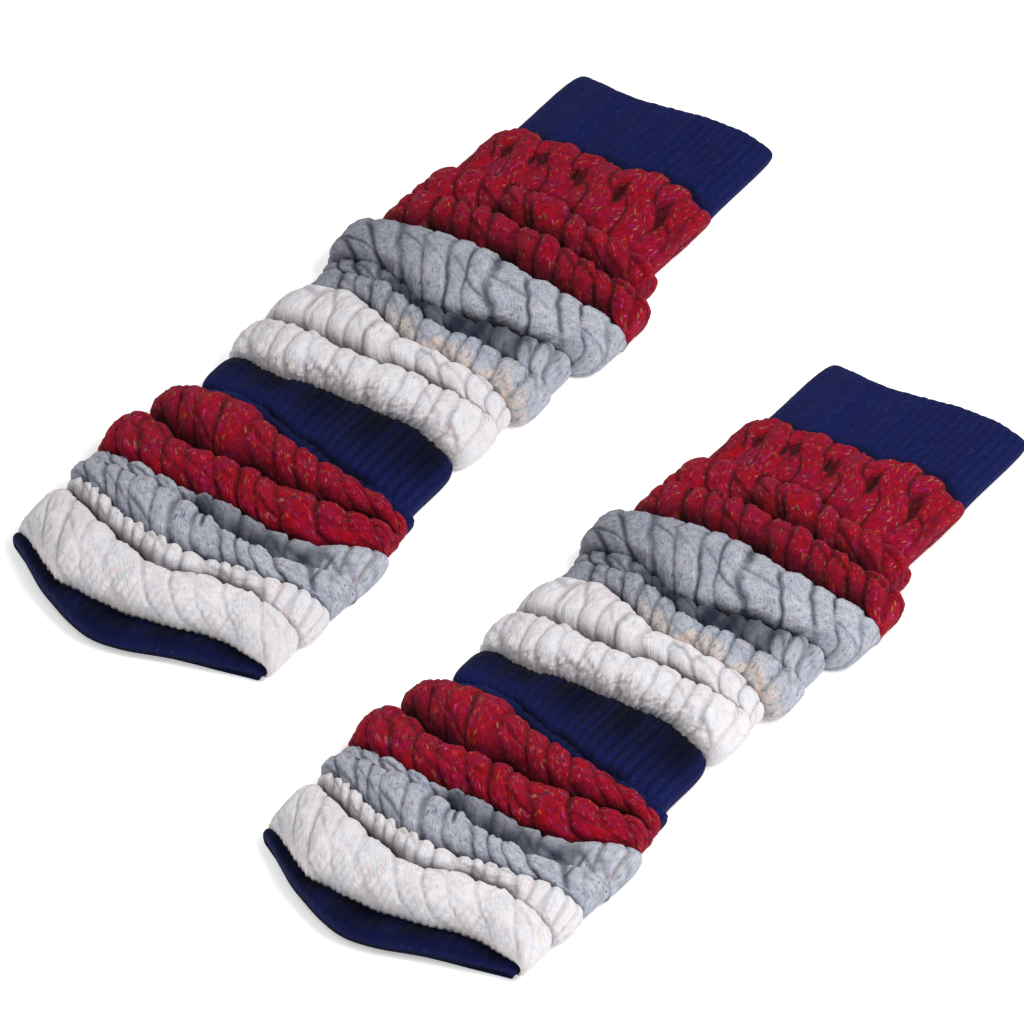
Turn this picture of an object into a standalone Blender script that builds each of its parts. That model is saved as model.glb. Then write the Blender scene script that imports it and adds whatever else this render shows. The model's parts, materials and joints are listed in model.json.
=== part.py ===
"""A pair of over-the-knee cable-knit socks, pushed up into soft folds and laid flat side by side.

Each sock is a footless tube, open at both ends and knitted in nine colour bands. Its cloth is a real wall
round an empty hollow: the folds stand up on the upper side, and the underside lies flat on the floor.

Frame: +X runs across the socks, +Y from the hems to the cuffs and +Z up. The floor is z = 0 and the origin is
on it, under the middle of the pair. The far side of a sock is its -X side, and the near side its +X side.
The sizes below are in millimetres, and MM turns them into Blender's metres.
"""

import math
from collections import namedtuple

import bmesh
import bpy
from mathutils import Vector

MM = 0.001

# Cloth
WALL = 2.3  # plain thickness, under the cables and ribs
SEAM_GAP = 0.3  # between two bands
TALL_FOLD = 8.0  # a fold that rises this much has upright sides
MOST_INSET = 0.3  # share of a fold's pitch that its inner face may draw in from each side

# Section of the tube
ROUNDNESS = 2.6  # exponent of the superellipse that rounds the upper side: 2 is an ellipse
WAIST = 0.34  # height of the widest point, as a share of the height above it
CORNER = 0.8  # how far the flat underside stays inside the widest point, as a share of the waist's height
UNDER_FOLLOW = 0.8  # how closely the underside follows the bends of the lines on the upper side
NOMINAL_HALF_WIDTH = 68.0  # the section that spaces the cables and ribs evenly
NOMINAL_RISE = 17.0

# Rope cables: two strands that cross over each other
CABLES = 8  # across the upper side
COLUMNS_PER_CABLE = 4
CABLE_WIDTH = 19.5
TWIST_LENGTH = 46.0  # cloth length of one full turn, two crossings
STRAND_SWING = 4.7  # a strand's way out to each side of its cable's middle
STRAND_HALF_WIDTH = 5.6
STRAND_HEIGHT = 1.9
STRAND_LIFT = 0.6  # how much the upper strand lies above the lower one at a crossing
SIDE_ROOM = 0.5  # share of the way to the next fold that a cable on a fold's side may take

# Ribs
RIBS = 22  # across the upper side
RIB_HEIGHT = 1.1
RIB_END = 0.5  # share of that height at the two ends of a ribbed band
COLUMNS_PER_RIB = 2

# The second sock lies beside the first, towards the hems
NEXT_SOCK = (195.0, -94.0)
SOCKS = ("left", "right")

# The lines across a sock where one fold ends and the next starts, from the hem to the cuff: how far along the
# sock each lies at five places across, how high the cloth is there at three, and where its two sides are.
Line = namedtuple("Line", "y_far y_far_mid y_mid y_near_mid y_near z_far z_mid z_near x_far x_near")
LINES = (
    Line(34.5, 12, 1.5, 12, 23, 10, 10, 10, -66, 69),  # lower open edge
    Line(38, 19, 15.5, 23, 26.5, 10.5, 10.5, 10.5, -66, 70),  # hem to white
    Line(67.5, 50.5, 42, 49, 47, 15, 14, 21, -62, 72),
    Line(73, 60, 53, 59, 66, 15, 14, 21, -62, 72),  # white to grey
    Line(84, 82, 77, 71, 84, 21, 17, 19, -64, 75),
    Line(95, 87, 89, 87.5, 110, 14, 14, 17, -63, 71),  # grey to red
    Line(125, 112, 112, 113, 122, 13, 14, 19, -57, 69),
    Line(147, 147, 137, 132, 130, 13, 13, 14, -51, 66),  # red to the middle rib
    Line(155, 153, 144, 137, 138, 15, 14, 14, -52, 68.5),
    Line(178.5, 175.5, 178, 179.5, 177.5, 12, 12, 13, -55.5, 54.5),  # middle rib to white
    Line(203, 200, 201, 202.5, 203, 15, 14, 23, -55, 63),
    Line(227, 231, 218, 218, 215.5, 14, 15, 15, -51, 60),  # white to grey
    Line(243, 243, 235, 236, 237, 20, 18, 14, -53, 67),
    Line(251, 251, 242, 250, 258, 13, 14, 15, -55, 60),
    Line(278, 283, 284, 281, 282.5, 15, 16, 18, -51, 75),  # grey to red
    Line(305, 307, 309, 305, 305.5, 21, 14, 14, -53, 62.5),
    Line(327, 330, 330, 327, 326, 16, 16, 14, -49, 54),
    Line(365, 366, 367, 373, 371, 12, 12, 12, -46, 56),  # red to the cuff
    Line(416.5, 412.5, 416.5, 422, 420.5, 10.5, 10.5, 10.5, -41, 51.5),  # upper open edge
)

# The folds between those lines: how high each rises, how far its ends bulge on the two sides, how far it
# leans towards the hem, and the number of strips in its outer and its inner face.
Fold = namedtuple("Fold", "band crest bulge_far bulge_near lean outer_strips inner_strips")
FOLDS = (
    Fold("hem", 10.5, -66.5, 69.5, 0, 2, 1),
    Fold("white_low", 26, -65, 75, 2.5, 5, 3),
    Fold("white_low", 24.5, -63, 76.5, 0, 4, 3),
    Fold("grey_low", 26, -66, 75, 0, 4, 3),
    Fold("grey_low", 23, -66, 76, 0, 3, 3),
    Fold("red_low", 27, -68, 71, 1, 5, 3),
    Fold("red_low", 28, -63, 70, 1, 5, 3),
    Fold("rib_mid", 17, -53, 66, 0, 2, 2),
    Fold("rib_mid", 17.5, -57, 64, 0, 3, 2),
    Fold("white_up", 27, -58, 66, 2, 5, 3),
    Fold("white_up", 26, -57.5, 63.5, 0, 5, 3),
    Fold("grey_up", 23.5, -54, 69.5, 0, 3, 3),
    Fold("grey_up", 22.5, -56, 69, 0, 3, 3),
    Fold("grey_up", 30, -59.5, 74.5, 2, 5, 3),
    Fold("red_up", 25.5, -54, 76, 1, 5, 3),
    Fold("red_up", 22, -53.5, 63.5, 1, 4, 3),
    Fold("red_up", 18.5, -47.5, 57, 0, 4, 3),
    Fold("cuff", 12.5, -44.5, 55.5, 0, 3, 2),
)

# The bands: their yarn, and for a ribbed one its number of ribs across the upper side.
Band = namedtuple("Band", "yarn ribs")
BANDS = {
    "hem": Band("navy", RIBS),
    "white_low": Band("white", 0),
    "grey_low": Band("grey", 0),
    "red_low": Band("red", 0),
    "rib_mid": Band("navy", RIBS),
    "white_up": Band("white", 0),
    "grey_up": Band("grey", 0),
    "red_up": Band("red", 0),
    "cuff": Band("navy", RIBS),
}

# Yarns: linear colour and roughness
YARNS = {
    "navy": ((0.012, 0.016, 0.105), 0.92),
    "white": ((0.70, 0.66, 0.66), 0.95),
    "grey": ((0.34, 0.36, 0.40), 0.95),
    "red": ((0.38, 0.008, 0.025), 0.94),
}

INNER_COLUMNS = 14  # strips across the upper side of a band's plain inside
UNDER_PLACES = (-1.0, -0.4, 0.4, 1.0)  # points across the flat underside
SLOPE_STEP = 0.01  # step that the cloth's slope is measured over
SECTION_STEPS = 600  # short steps that the section's length is measured in
SHARP_ANGLE = math.radians(50)  # an edge that bends more than this is shaded sharp


def clear_scene():
    for thing in list(bpy.data.objects):
        bpy.data.objects.remove(thing, do_unlink=True)


def mix(a, b, share):
    return a + (b - a) * share


def across(values, u):
    """A smooth curve through evenly spaced values, read at u: -1 at the far side and 1 at the near side."""
    spans = len(values) - 1
    place = min(max((u + 1) / 2, 0.0), 1.0) * spans
    i = min(int(place), spans - 1)
    f = place - i
    start, end = values[i], values[i + 1]
    before = values[i - 1] if i > 0 else 2 * start - end
    after = values[i + 2] if i + 2 <= spans else 2 * end - start
    slope_in = (end - before) / 2
    slope_out = (after - start) / 2
    square = 3 * (end - start) - 2 * slope_in - slope_out
    cube = slope_in + slope_out - 2 * (end - start)
    return start + f * (slope_in + f * (square + f * cube))


def line_y(line, u):
    return across((line.y_far, line.y_far_mid, line.y_mid, line.y_near_mid, line.y_near), u)


def line_z(line, u):
    return across((line.z_far, line.z_mid, line.z_near), u)


def under_y(line, u):
    """Where a line lies on the underside: straighter than on the upper side."""
    straight = mix(line.y_far, line.y_near, (u + 1) / 2)
    return mix(straight, line_y(line, u), UNDER_FOLLOW)


def rounded(angle):
    """A point of the unit superellipse's upper half, from 0 at the near side to pi at the far side."""
    power = 2 / ROUNDNESS
    c = math.cos(angle)
    return math.copysign(abs(c) ** power, c), abs(math.sin(angle)) ** power


def even_angles(strips):
    """Angles of the points that part the upper side of the nominal section into equal strips."""
    steps = SECTION_STEPS
    fine = [math.pi * i / steps for i in range(steps + 1)]
    shape = [Vector((NOMINAL_HALF_WIDTH * x, NOMINAL_RISE * z)) for x, z in map(rounded, fine)]
    lengths = [0.0]
    for a, b in zip(shape, shape[1:]):
        lengths.append(lengths[-1] + (b - a).length)
    angles = []
    i = 0
    for k in range(strips + 1):
        wanted = lengths[-1] * k / strips
        while i < steps - 1 and lengths[i + 1] < wanted:
            i += 1
        angles.append(mix(fine[i], fine[i + 1], (wanted - lengths[i]) / (lengths[i + 1] - lengths[i])))
    return angles


class FoldShape:
    """One fold of a sock as a smooth surface: t runs from 0 at its lower line to 1 at its upper line."""

    def __init__(self, index, wall=0.0):
        self.start = LINES[index]
        self.end = LINES[index + 1]
        self.fold = FOLDS[index]
        self.wall = wall  # how far inside the outer face this face lies

    def at(self, t):
        self.rise = math.sin(math.pi * t)
        self.travel = (1 - math.cos(math.pi * t)) / 2
        self.turn = math.cos(math.pi * t) if 0 < t < 1 else 0.0
        far = mix(self.start.x_far, self.end.x_far, self.travel)
        near = mix(self.start.x_near, self.end.x_near, self.travel)
        self.far = mix(far, self.fold.bulge_far, self.rise)
        self.near = mix(near, self.fold.bulge_near, self.rise)
        self.middle = (self.far + self.near) / 2
        self.half = (self.near - self.far) / 2
        return self

    def top(self, u):
        base = mix(line_z(self.start, u), line_z(self.end, u), self.travel)
        return mix(base, self.fold.crest, self.rise)

    def waist(self, u):
        return self.wall + (self.top(u) - 2 * self.wall) * WAIST

    def y(self, u, read):
        """How far along the sock the fold lies. An inner face keeps inside the fold's upright sides."""
        low, high = read(self.start, u), read(self.end, u)
        groove = min(line_z(self.start, u), line_z(self.end, u))
        upright = min(1.0, max(0.0, self.fold.crest - groove) / TALL_FOLD)
        inset = min(self.wall * upright, MOST_INSET * (high - low))
        return mix(low, high, self.travel) + inset * self.turn

    def upper(self, angle):
        cross, lift = rounded(angle)
        x = self.middle + (self.half - self.wall) * cross
        u = (x - self.middle) / self.half
        waist = self.waist(u)
        z = mix(waist, self.top(u) - self.wall, lift)
        return Vector((x, self.y(u, line_y) - self.fold.lean * self.rise * lift, z))

    def lower_side(self, side):
        """The point halfway round the quarter turn from the widest point down to the underside."""
        waist = self.waist(side)
        short = 1 - math.cos(math.pi / 4)
        x = self.middle + side * (self.half - self.wall - CORNER * waist * short)
        return Vector((x, self.y(side, line_y), self.wall + (waist - self.wall) * short))

    def under(self, place):
        corner = CORNER * self.waist(place)
        x = self.middle + place * (self.half - self.wall - corner)
        return Vector((x, self.y((x - self.middle) / self.half, under_y), self.wall))

    def outward(self, t, angle):
        """The outer face's direction at a point of the upper side."""
        t_low, t_high = max(t - SLOPE_STEP, 0.0), min(t + SLOPE_STEP, 1.0)
        along = self.at(t_high).upper(angle) - self.at(t_low).upper(angle)
        side = self.at(t).upper(max(angle - SLOPE_STEP, 0.0)) - self.upper(min(angle + SLOPE_STEP, math.pi))
        return side.cross(along).normalized()


def fold_length(index):
    """Length of cloth over a fold along the middle of the sock: half an ellipse's girth, unless it is low."""
    start, end, fold = LINES[index], LINES[index + 1], FOLDS[index]
    half = (end.y_mid - start.y_mid) / 2
    rise = fold.crest - (start.z_mid + end.z_mid) / 2
    return max(2 * half, math.pi * math.sqrt((half**2 + rise**2) / 2)) if rise > 0 else 2 * half


CLOTH_STARTS = [sum(fold_length(i) for i in range(index)) for index in range(len(FOLDS))]


def cable_height(column, cloth):
    """Height of a rope cable at a place across the upper side, in cables, and at a length along the cloth."""
    offset = (column % 1.0 - 0.5) * CABLE_WIDTH
    turn = 2 * math.pi * cloth / TWIST_LENGTH
    heights = [0.0]
    for strand in (1, -1):
        away = (offset - strand * STRAND_SWING * math.cos(turn)) / STRAND_HALF_WIDTH
        if abs(away) < 1:
            heights.append(STRAND_HEIGHT * math.sqrt(1 - away**2) + strand * STRAND_LIFT * math.sin(turn))
    return max(heights)


def rib_height(column, at_band_end):
    return RIB_HEIGHT * (column % COLUMNS_PER_RIB) * (RIB_END if at_band_end else 1.0)


def at_band_end(index, t):
    """Whether a fold's line at t is one where its band starts or ends."""
    beside = index - 1 if t == 0 else index + 1
    return t in (0, 1) and not (0 <= beside < len(FOLDS) and FOLDS[beside].band == FOLDS[index].band)


def raised_point(shape, index, t, angle, column, columns, ribs):
    """A point of the outer face of the upper side, with the cable or rib that stands on it."""
    direction = shape.outward(t, angle)
    point = shape.at(t).upper(angle)
    if ribs:
        direction.y = 0
        height = rib_height(column, at_band_end(index, t))
    else:
        cloth = CLOTH_STARTS[index] + t * fold_length(index)
        height = cable_height(column / COLUMNS_PER_CABLE, cloth) * math.sqrt(math.sin(math.pi * t))
    if column in (0, columns):
        height = 0.0
    raised = direction * height
    u = (point.x - shape.middle) / shape.half
    room = SIDE_ROOM * min(point.y - line_y(shape.start, u), line_y(shape.end, u) - point.y)
    raised.y = min(max(raised.y, -room), room) if room > 0 else 0.0
    return point + raised


def ring_points(index, t, wall, columns, ribs=0):
    """The closed section of one face of a fold: over the upper side, down the far side and back below."""
    shape = FoldShape(index, wall)
    angles = even_angles(columns)
    if wall:
        points = [shape.at(t).upper(angle) for angle in angles]
        under = [shape.under(place) for place in UNDER_PLACES]
        return points + under
    points = [raised_point(shape, index, t, angle, i, columns, ribs) for i, angle in enumerate(angles)]
    shape.at(t)
    under = [shape.under(place) for place in UNDER_PLACES]
    return points + [shape.lower_side(-1)] + under + [shape.lower_side(1)]


def face_rings(indices, wall, columns, ribs):
    """The rings of a band's outer or inner face, each fold's strips in turn."""
    rings = []
    for index in indices:
        strips = FOLDS[index].inner_strips if wall else FOLDS[index].outer_strips
        first = 0 if index == indices[0] else 1
        rings += [ring_points(index, i / strips, wall, columns, ribs) for i in range(first, strips + 1)]
    return rings


def part_at_seams(rings):
    """Draws a band's first and last rings back by half the gap to the next band."""
    for point in rings[0]:
        point.y += SEAM_GAP / 2
    for point in rings[-1]:
        point.y -= SEAM_GAP / 2


def strip(bm, ring_a, ring_b):
    """Faces between two rings of the same number of points."""
    for i in range(len(ring_a)):
        j = (i + 1) % len(ring_a)
        bm.faces.new((ring_a[i], ring_a[j], ring_b[j], ring_b[i]))


def places_round(ring, columns):
    """Where each point of a ring lies round the section: 0 to 1 over the upper side and 1 to 2 below."""
    below = len(ring) - columns - 1
    upper = [i / columns for i in range(columns + 1)]
    return upper + [1 + (i + 1) / (below + 1) for i in range(below)] + [2.0]


def rim(bm, outer, inner, outer_columns, inner_columns):
    """The open end of a band: faces between an outer and an inner ring with unlike numbers of points."""
    outer_places = places_round(outer, outer_columns)
    inner_places = places_round(inner, inner_columns)
    i = j = 0
    while i < len(outer) or j < len(inner):
        a, b = outer[i % len(outer)], inner[j % len(inner)]
        outer_next = outer_places[i + 1] if i < len(outer) else math.inf
        inner_next = inner_places[j + 1] if j < len(inner) else math.inf
        if outer_next <= inner_next:
            i += 1
            bm.faces.new((a, outer[i % len(outer)], b))
        else:
            j += 1
            bm.faces.new((a, inner[j % len(inner)], b))


def band_mesh(name):
    """A band's cloth: its outer face with the raised knit, its plain inside and the two rims between them."""
    band = BANDS[name]
    indices = [i for i, fold in enumerate(FOLDS) if fold.band == name]
    columns = band.ribs * COLUMNS_PER_RIB or CABLES * COLUMNS_PER_CABLE
    outer = face_rings(indices, 0.0, columns, band.ribs)
    inner = face_rings(indices, WALL, INNER_COLUMNS, 0)
    bm = bmesh.new()
    faces = []
    for rings in (outer, inner):
        part_at_seams(rings)
        faces.append([[bm.verts.new(point * MM) for point in ring] for ring in rings])
        for ring_a, ring_b in zip(faces[-1], faces[-1][1:]):
            strip(bm, ring_a, ring_b)
    outer, inner = faces
    for end in (0, -1):
        rim(bm, outer[end], inner[end], columns, INNER_COLUMNS)
    bmesh.ops.recalc_face_normals(bm, faces=bm.faces)
    mesh = bpy.data.meshes.new(name)
    bm.to_mesh(mesh)
    bm.free()
    mesh.shade_smooth()
    mesh.set_sharp_from_angle(angle=SHARP_ANGLE)
    return mesh


def yarn_material(yarn):
    colour, roughness = YARNS[yarn]
    material = bpy.data.materials.new(f"wool_{yarn}")
    material.use_nodes = True
    shader = material.node_tree.nodes["Principled BSDF"]
    shader.inputs["Base Color"].default_value = (*colour, 1.0)
    shader.inputs["Roughness"].default_value = roughness
    shader.inputs["Metallic"].default_value = 0.0
    return material


def middle_of_pair(meshes):
    """The middle, in X and Y, of the box round both socks."""
    points = [vertex.co for mesh in meshes for vertex in mesh.vertices]
    middle = []
    for axis in (0, 1):
        shift = NEXT_SOCK[axis] * MM
        low = min(point[axis] for point in points) + min(shift, 0.0)
        high = max(point[axis] for point in points) + max(shift, 0.0)
        middle.append((low + high) / 2)
    return middle


def build_pair():
    clear_scene()
    collection = bpy.data.collections.new("over_the_knee_socks")
    bpy.context.scene.collection.children.link(collection)
    materials = {yarn: yarn_material(yarn) for yarn in YARNS}
    meshes = {name: band_mesh(name) for name in BANDS}
    for name, mesh in meshes.items():
        mesh.materials.append(materials[BANDS[name].yarn])
    middle_x, middle_y = middle_of_pair(meshes.values())
    for number, sock in enumerate(SOCKS):
        place = bpy.data.objects.new(f"{sock}_sock", None)
        place.location = (number * NEXT_SOCK[0] * MM - middle_x, number * NEXT_SOCK[1] * MM - middle_y, 0.0)
        collection.objects.link(place)
        for name, mesh in meshes.items():
            piece = bpy.data.objects.new(f"{sock}_{name}", mesh)
            piece.parent = place
            collection.objects.link(piece)


build_pair()
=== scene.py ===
"""Looks of a pair of over-the-knee socks: cable-knit tubes in nine colour bands, pushed into soft folds.

Each band of each sock is one fine shell of cloth in place of its plain solid. It has the solid's folds, from
sizes that agree to within a few millimetres, and adds what the solid leaves out: the strands of the cables,
the creases and the knitted stitches. Lengths are in millimetres in each sock's own frame: +Y from the hem to
the cuff, the far side at -X and the near side at +X. MM turns them into metres.
"""

import json
import math
from collections import namedtuple

import bpy
import numpy as np
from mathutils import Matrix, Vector


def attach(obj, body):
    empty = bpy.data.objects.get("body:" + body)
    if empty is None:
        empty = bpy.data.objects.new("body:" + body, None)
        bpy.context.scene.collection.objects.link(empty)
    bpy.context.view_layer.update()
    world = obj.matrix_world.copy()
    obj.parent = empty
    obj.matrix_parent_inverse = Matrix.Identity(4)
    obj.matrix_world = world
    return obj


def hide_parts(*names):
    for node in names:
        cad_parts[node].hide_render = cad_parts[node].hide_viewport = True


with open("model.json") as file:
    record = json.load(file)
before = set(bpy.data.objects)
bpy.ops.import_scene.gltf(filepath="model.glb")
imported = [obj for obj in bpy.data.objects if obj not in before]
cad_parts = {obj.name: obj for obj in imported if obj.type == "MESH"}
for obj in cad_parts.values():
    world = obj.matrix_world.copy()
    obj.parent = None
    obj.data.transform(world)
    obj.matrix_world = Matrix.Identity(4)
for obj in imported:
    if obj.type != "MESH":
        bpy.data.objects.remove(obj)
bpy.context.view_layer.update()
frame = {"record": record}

MM = 0.001

# ---------------- the cloth's form, close to the solid's

WALL = 2.3
TALL_FOLD = 8.0  # a fold that rises this much has upright sides
MOST_INSET = 0.3  # share of a fold's pitch that its inner face may draw in from each side
ROUNDNESS = 2.6  # exponent of the superellipse that rounds the upper side
WAIST = 0.34  # height of the widest point, as a share of the height above it
CORNER = 0.8  # how far the flat underside stays inside the widest point, as a share of the waist's height
SIDE_SHARE = 0.1  # of the way round a section, counted for each rounded side
UNDER_FOLLOW = 0.8  # how closely the underside follows the bends of the lines on the upper side
NOMINAL_HALF_WIDTH = 68.0  # the section that spaces the strands and ribs evenly
NOMINAL_RISE = 17.0
SOCKS = ("left", "right")
UNDERSIDE_MARK = (8.0, 158.0)  # the point of each sock's underside that its mount names

# The lines across a sock where one fold ends and the next starts, from the hem to the cuff: how far along the
# sock each lies at five places across, how high the cloth is there at three, and where its two sides are.
Line = namedtuple("Line", "y_far y_far_mid y_mid y_near_mid y_near z_far z_mid z_near x_far x_near")
LINES = (
    Line(34.5, 12, 1.5, 12, 23, 5, 5, 5, -66, 69),  # lower open edge, pressed flatter than the solid's
    Line(38, 19, 15.5, 23, 26.5, 10.5, 10.5, 10.5, -66, 70),  # hem to white
    Line(67.5, 50.5, 42, 49, 47, 15, 14, 21, -62, 72),
    Line(73, 60, 53, 59, 66, 15, 14, 21, -62, 72),  # white to grey
    Line(84, 82, 77, 71, 84, 21, 17, 19, -64, 75),
    Line(95, 87, 89, 87.5, 110, 14, 14, 17, -63, 71),  # grey to red
    Line(125, 112, 112, 113, 122, 13, 14, 19, -57, 69),
    Line(147, 147, 137, 132, 130, 13, 13, 14, -51, 66),  # red to the middle rib
    Line(155, 153, 144, 137, 138, 15, 14, 14, -52, 66),
    Line(178.5, 175.5, 178, 179.5, 177.5, 12, 12, 13, -55.5, 54.5),  # middle rib to white
    Line(203, 200, 201, 202.5, 203, 15, 14, 23, -55, 63),
    Line(227, 231, 218, 218, 215.5, 14, 15, 15, -51, 60),  # white to grey
    Line(243, 243, 235, 236, 237, 20, 18, 14, -53, 67),
    Line(251, 251, 242, 250, 258, 13, 14, 15, -55, 60),
    Line(278, 283, 284, 281, 282.5, 15, 16, 18, -51, 74.5),  # grey to red
    Line(305, 307, 309, 305, 305.5, 21, 14, 14, -53, 62.5),
    Line(327, 330, 330, 327, 326, 16, 16, 14, -49, 54),
    Line(365, 366, 367, 373, 371, 12, 12, 12, -46, 56),  # red to the cuff
    Line(416.5, 412.5, 416, 421, 422, 10.5, 10.5, 10.5, -41, 52.5),  # upper open edge
)

# How the cables show on a fold. On a roll their turns lie side by side as slanted strands: count is how many
# lie across the upper side, start how far the first is moved sideways, in strands, slant how far they run
# towards the far side for each millimetre of cloth, and bow how far their middle bends that way. On flatter
# cloth the two strands of each cable cross: count is then how many cables there are, and twist how far round
# they have turned at the fold's lower line, in turns. height is how high they stand, and line how dark the
# painted shade in the lines between them is.
Strands = namedtuple("Strands", "count start slant bow height line")
Cables = namedtuple("Cables", "count start twist height line")

# The folds between those lines: crest is how high each rises, bulge_far and bulge_near how far its ends come
# out on the two sides, lean and droop how far it hangs over towards the hem, at its crest and at its near
# end, and shows how its cables show, which is None where it is ribbed.
Fold = namedtuple("Fold", "band crest bulge_far bulge_near lean droop shows")
FOLDS = (
    Fold("hem", 10.5, -66.5, 69.5, 0, 0, None),
    Fold("white_low", 26, -65, 75, 2.5, 6, Strands(10.5, 0.1, 0.7, 7, 0.8, 0.3)),
    Fold("white_low", 24.5, -63, 76.5, 0, 0, Strands(21, 0.4, 0.3, 1, 1.1, 0.45)),
    Fold("grey_low", 26, -66, 75, 0, 0, Strands(14, 0.3, 0.5, 3, 1.1, 0.80)),
    Fold("grey_low", 23, -66, 76, 0, 0, Strands(13, 0.7, 0.4, 2, 1.1, 0.85)),
    Fold("red_low", 27, -68, 71, 1, 0, Strands(12, 0.2, 0.55, 2, 1.25, 0.8)),
    Fold("red_low", 28, -63, 70, 1, 0, Strands(11, 0.6, 0.6, 3, 1.2, 0.75)),
    Fold("rib_mid", 17, -53, 67.5, 0, 0, None),
    Fold("rib_mid", 17.5, -57, 63, 0, 0, None),
    Fold("white_up", 27, -58, 66, 2, 0, Strands(13, 0.4, 0.3, 2, 1.15, 0.4)),
    Fold("white_up", 26, -57.5, 63.5, 0, 0, Strands(11, 0.1, 0.2, 5, 0.9, 0.6)),
    Fold("grey_up", 23.5, -54, 69.5, 0, 0, Strands(13, 0.7, 0.4, 2, 1.1, 0.75)),
    Fold("grey_up", 22.5, -56, 66.5, 0, 0, Strands(13, 0.3, 0.4, 2, 1.1, 0.95)),
    Fold("grey_up", 30, -59.5, 75.5, 2, 0, Strands(11, 0.0, 0.5, 6, 1.0, 0.95)),
    Fold("red_up", 25.5, -54, 74.5, 1, 0, Strands(13, 0.5, 0.4, 3, 1.7, 1.0)),
    Fold("red_up", 22, -53.5, 63.5, 1, 0, Strands(9.5, 0.2, 0.5, 4, 1.9, 0.95)),
    Fold("red_up", 18.5, -47.5, 57, 0, 0, Cables(5.8, 0.10, 0.95, 2.0, 0.8)),
    Fold("cuff", 12.5, -44.5, 54.5, 0, 0, None),
)

# rib_far and rib_near are how high a band's ribs stand, groove is how dark the painted shade between them is,
# and far_dark how much painted shade darkens the band towards its far end.
Band = namedtuple("Band", "yarn rib_far rib_near groove far_dark")
BANDS = {
    "hem": Band("navy", 0.2, 0.6, 0.4, 0),
    "white_low": Band("white", 0, 0, 0, 0.06),
    "grey_low": Band("grey", 0, 0, 0, 0.12),
    "red_low": Band("red", 0, 0, 0, 0),
    "rib_mid": Band("navy", 0.2, 1.0, 0.6, 0),
    "white_up": Band("white", 0, 0, 0, 0.06),
    "grey_up": Band("grey", 0, 0, 0, 0.42),
    "red_up": Band("red", 0, 0, 0, 0),
    "cuff": Band("navy", 0.1, 0.55, 0.6, 0),
}

# The creases along the lines, where little light reaches, darkened with painted shade: start and end are
# where a crease starts and ends across the sock, below and above how far its painted shade reaches over the
# cloth on the hem's and the cuff's side, and depth how dark that painted shade is.
Crease = namedtuple("Crease", "line start end below above depth")
CREASES = (
    Crease(1, -1.3, 1.3, 15, 1.2, 0.97),
    Crease(2, -1.3, 0.75, 5, 8.5, 1.0),
    Crease(3, -1.3, 0.9, 2.0, 8.5, 0.95),
    Crease(4, -0.3, 0.85, 4, 14, 1.0),
    Crease(5, -1.3, 0.7, 8, 9, 0.95),
    Crease(6, -1.3, 1.3, 4, 13, 1.0),
    Crease(7, -1.3, 1.3, 2, 7, 0.9),
    Crease(8, -0.5, 0.8, 5, 6, 1.0),
    Crease(9, -1.3, 1.3, 25, 1.2, 1.0),
    Crease(10, -1.3, 0.7, 5, 9.5, 1.0),
    Crease(11, -1.3, 0.9, 3.5, 6, 0.95),
    Crease(12, -0.6, 0.8, 5, 24, 1.0),
    Crease(13, -1.3, 0.9, 11, 11, 1.0),
    Crease(14, -1.3, 1.0, 2.5, 13, 1.0),
    Crease(15, -0.5, 1.3, 6, 12, 1.0),
    Crease(16, -0.35, 0.6, 3, 4, 0.6),
    Crease(17, -1.3, 1.3, 1.5, 5, 0.7),
)

# Short creases and holes between strands: where the middle of each lies, which way it runs (0 along the line
# from the far to the near side, 90 towards the cuff), how long and wide it is and how dark its painted shade
# is.
Nick = namedtuple("Nick", "x y turn length width dark")
NICKS = (
    Nick(6, 71, 115, 13, 1.8, 1.0),
    Nick(27, 73, 100, 8, 1.2, 0.8),
    Nick(62, 78, 95, 20, 1.3, 0.9),
    Nick(4, 313, 125, 18, 2.4, 1.0),
    Nick(-38, 345, 110, 9, 1.8, 0.9),
    Nick(-19, 347, 105, 9, 2.2, 1.0),
    Nick(1, 350, 100, 9, 2.2, 1.0),
    Nick(24, 350, 100, 11, 2.4, 1.0),
    Nick(46, 353, 95, 8, 1.8, 0.9),
)
NICK_DEPTH = 1.6

# Rows at a band's start where its yarn is joined to the one before: from where to where across the sock they
# show, and how far up the band they reach.
Join = namedtuple("Join", "start end reach")
JOINS = {"grey_up": Join(-0.45, 1.1, 12.5)}

# Lines whose edge is scalloped by the stitches or cables that end there: how many scallops lie across the
# upper side, where the first one starts, and how high they are.
Scallops = namedtuple("Scallops", "count start height")
SCALLOPS = {1: Scallops(44, 0, 0.55), 9: Scallops(42, 0, 0.6), 17: Scallops(5.8, 0.6, 2.2)}

# ---------------- what the shells add

GRID = 0.8  # spacing of the outer face's points
FOLD_ROUNDNESS = 2.7  # exponent of a fold's own rounding along the sock
CREST_WAVE = 1.1  # how unevenly high a fold stands
LINE_WAVE = 1.2  # how unevenly a line runs
OPEN_EDGE_WAVE = 0.25  # share of that at a sock's two open edges
DROOP_START = 0.9  # where across a fold its near end starts to droop
STRAND_UNEVEN = 0.28  # how far the lines between strands wander, as a share of a strand's width
STRAND_SWAY = 0.08  # how far a strand sways on its way along the sock, likewise
DOME_UNEVEN = 0.3  # share that one strand may be higher than the next
LINE_HALF = 1.35  # half the width of the darkest line between two strands
LINE_UNEVEN = 0.3  # share that one such line may be wider than the next
LINE_FAINT = 0.6  # how wide the faintest line is, as a share of the darkest
LINE_FLARE = 2.2  # how much wider a line is where the strands flatten
LINE_SHARPNESS = 2.5  # exponent of a line's profile
LINE_DEPTH = 0.9
LINE_SPREAD = 0.2  # how much fainter one line may be than the next
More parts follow.
